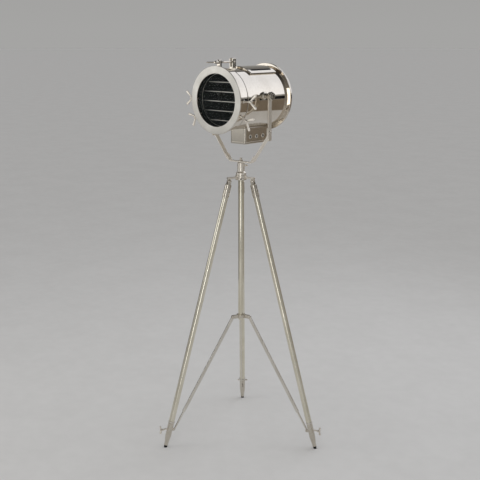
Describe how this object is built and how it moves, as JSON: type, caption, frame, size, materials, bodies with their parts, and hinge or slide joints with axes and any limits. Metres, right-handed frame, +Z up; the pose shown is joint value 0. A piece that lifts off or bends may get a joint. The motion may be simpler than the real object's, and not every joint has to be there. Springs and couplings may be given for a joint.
{
  "type": "tripod_spotlight",
  "caption": "Studio spotlight with a nickel barrel, louvred front bezel and tilting yoke on a folding tripod stand with a centre spreader",
  "frame": {"origin": "on the floor, under the middle of the whole part's box", "axes": "+Z up, the lamp faces -Y with its barrel level, and its tilt axis is along X"},
  "size_m": [0.6926, 0.7156, 1.722],
  "materials": {
    "polished_nickel": "mirror-polished nickel plate",
    "satin_nickel": "satin nickel plate",
    "nickel_tube": "warm polished nickel plate on drawn tube",
    "cast_nickel": "polished nickel plate on castings",
    "black_enamel": "matt black stove enamel",
    "black_rubber": "matt black rubber",
    "clear_glass": "clear flat glass",
    "opal_glass": "opal white glass",
    "glazed_ceramic": "glazed white ceramic"
  },
  "bodies": {
    "stand": {"top_hub": "cast_nickel", "post_socket": "cast_nickel", "center_column": "nickel_tube", "leg_hinge_bolt_1": "polished_nickel", "leg_hinge_bolt_2": "polished_nickel", "leg_hinge_bolt_3": "polished_nickel"},
    "pan_screw": {"pan_thumbscrew": "cast_nickel"},
    "spreader_slider": {"spreader": "cast_nickel", "spreader_pin_1": "polished_nickel", "spreader_pin_2": "polished_nickel", "spreader_pin_3": "polished_nickel"},
    "yoke": {"yoke_base": "polished_nickel", "yoke_spigot": "polished_nickel", "spigot_nut": "polished_nickel", "yoke_arm_left": "polished_nickel", "yoke_arm_right": "polished_nickel", "yoke_side_bar_left": "polished_nickel", "yoke_side_bar_right": "polished_nickel", "yoke_bolt_left": "polished_nickel", "yoke_bolt_right": "polished_nickel"},
    "head": {"barrel_shell": "polished_nickel", "rear_cover": "polished_nickel", "front_ring": "satin_nickel", "lens_glass": "clear_glass", "louvre": "black_enamel", "reflector": "polished_nickel", "lamp_holder": "glazed_ceramic", "lamp_bulb": "opal_glass", "vent_cover": "polished_nickel", "ballast_housing": "cast_nickel", "cable_gland": "black_enamel", "latch_bracket": "cast_nickel", "trunnion_left": "cast_nickel", "trunnion_right": "cast_nickel"},
    "knob_left": {"tilt_knob_left": "cast_nickel"},
    "knob_right": {"tilt_knob_right": "cast_nickel"},
    "latch_bolt": {"swing_bolt": "polished_nickel"},
    "latch_nut": {"latch_wing_nut": "cast_nickel"},
    "leg_1": {"leg_socket_1": "cast_nickel", "leg_tube_1": "nickel_tube", "leg_shoe_1": "cast_nickel", "foot_tip_1": "black_rubber"},
    "strap_1": {"brace_1": "nickel_tube"},
    "clamp_screw_1": {"tee_screw_1": "cast_nickel"},
    "leg_2": {"leg_socket_2": "cast_nickel", "leg_tube_2": "nickel_tube", "leg_shoe_2": "cast_nickel", "foot_tip_2": "black_rubber"},
    "strap_2": {"brace_2": "nickel_tube"},
    "clamp_screw_2": {"tee_screw_2": "cast_nickel"},
    "leg_3": {"leg_socket_3": "cast_nickel", "leg_tube_3": "nickel_tube", "leg_shoe_3": "cast_nickel", "foot_tip_3": "black_rubber"},
    "strap_3": {"brace_3": "nickel_tube"},
    "clamp_screw_3": {"tee_screw_3": "cast_nickel"},
    "wing_1": {"wing_screw_1": "cast_nickel"},
    "wing_2": {"wing_screw_2": "cast_nickel"},
    "wing_3": {"wing_screw_3": "cast_nickel"},
    "wing_4": {"wing_screw_4": "cast_nickel"}
  },
  "joints": [
    {"name": "leg_1_fold", "type": "hinge", "parent": "stand", "child": "leg_1", "pos_m": [-0.09975, 0.08036, 1.189], "axis": [-0.7515, -0.6597, 0], "range_deg": [0, 14.5]},
    {"name": "leg_2_fold", "type": "hinge", "parent": "stand", "child": "leg_2", "pos_m": [-0.0796, -0.0207, 1.189], "axis": [0.9471, -0.3209, 0], "range_deg": [0, 14.5]},
    {"name": "leg_3_fold", "type": "hinge", "parent": "stand", "child": "leg_3", "pos_m": [-0.00215, 0.04729, 1.189], "axis": [-0.1956, 0.9807, 0], "range_deg": [0, 14.5]},
    {"name": "spreader_slide", "type": "slide", "parent": "stand", "child": "spreader_slider", "axis": [0, 0, 1], "range_m": [0, 0.0505]},
    {"name": "brace_1_fold", "type": "hinge", "parent": "spreader_slider", "child": "strap_1", "pos_m": [-0.08887, 0.06796, 0.5616], "axis": [-0.7515, -0.6597, 0], "range_deg": [0, 30.5]},
    {"name": "clamp_screw_1_turn", "type": "hinge", "parent": "leg_1", "child": "clamp_screw_1", "pos_m": [-0.31069, 0.32063, 0.08623], "axis": [-0.6597, 0.7515, 0], "continuous": true},
    {"name": "brace_2_fold", "type": "hinge", "parent": "spreader_slider", "child": "strap_2", "pos_m": [-0.0743, -0.00508, 0.5616], "axis": [0.9471, -0.3209, 0], "range_deg": [0, 30.5]},
    {"name": "clamp_screw_2_turn", "type": "hinge", "parent": "leg_2", "child": "clamp_screw_2", "pos_m": [-0.18221, -0.32351, 0.08623], "axis": [-0.3209, -0.9471, 0], "continuous": true},
    {"name": "brace_3_fold", "type": "hinge", "parent": "spreader_slider", "child": "strap_3", "pos_m": [-0.01833, 0.04406, 0.5616], "axis": [-0.1956, 0.9807, 0], "range_deg": [0, 30.5]},
    {"name": "clamp_screw_3_turn", "type": "hinge", "parent": "leg_3", "child": "clamp_screw_3", "pos_m": [0.31139, 0.10983, 0.08623], "axis": [0.9807, 0.1956, 0], "continuous": true},
    {"name": "pan_screw_turn", "type": "hinge", "parent": "stand", "child": "pan_screw", "pos_m": [-0.04824, 0.04669, 1.2553], "axis": [0.7431, 0.6691, 0], "continuous": true},
    {"name": "head_pan", "type": "hinge", "parent": "stand", "child": "yoke", "pos_m": [-0.0605, 0.03565, 1.25], "axis": [0, 0, 1], "continuous": true},
    {"name": "head_tilt", "type": "hinge", "parent": "yoke", "child": "head", "pos_m": [-0.0605, 0.03565, 1.566], "axis": [1, 0, 0], "range_deg": [-60, 30]},
    {"name": "knob_left_turn", "type": "hinge", "parent": "head", "child": "knob_left", "pos_m": [-0.2283, 0.03565, 1.566], "axis": [-1, 0, 0], "continuous": true},
    {"name": "knob_right_turn", "type": "hinge", "parent": "head", "child": "knob_right", "pos_m": [0.1073, 0.03565, 1.566], "axis": [1, 0, 0], "continuous": true},
    {"name": "latch_swing", "type": "hinge", "parent": "head", "child": "latch_bolt", "pos_m": [-0.0605, -0.01635, 1.706], "axis": [-1, 0, 0], "range_deg": [0, 100]},
    {"name": "latch_nut_turn", "type": "hinge", "parent": "latch_bolt", "child": "latch_nut", "pos_m": [-0.0605, -0.10625, 1.706], "axis": [0, -1, 0], "continuous": true},
    {"name": "wing_1_turn", "type": "hinge", "parent": "head", "child": "wing_1", "pos_m": [0.073, -0.09435, 1.5485], "axis": [1, 0, 0], "continuous": true},
    {"name": "wing_2_turn", "type": "hinge", "parent": "head", "child": "wing_2", "pos_m": [-0.194, -0.09435, 1.5485], "axis": [-1, 0, 0], "continuous": true},
    {"name": "wing_3_turn", "type": "hinge", "parent": "head", "child": "wing_3", "pos_m": [0.05737, -0.09435, 1.48583], "axis": [0.8829, 0, -0.4695], "continuous": true},
    {"name": "wing_4_turn", "type": "hinge", "parent": "head", "child": "wing_4", "pos_m": [-0.17838, -0.09435, 1.48583], "axis": [-0.8829, 0, -0.4695], "continuous": true}
  ],
  "couplings": [
    {"joint": "leg_2_fold", "follows": "leg_1_fold", "ratio": 1},
    {"joint": "leg_3_fold", "follows": "leg_1_fold", "ratio": 1},
    {"joint": "spreader_slide", "follows": "leg_1_fold", "m_per_rad": 0.19876},
    {"joint": "brace_1_fold", "follows": "leg_1_fold", "ratio": 2.0972},
    {"joint": "brace_2_fold", "follows": "leg_1_fold", "ratio": 2.0972},
    {"joint": "brace_3_fold", "follows": "leg_1_fold", "ratio": 2.0972}
  ]
}
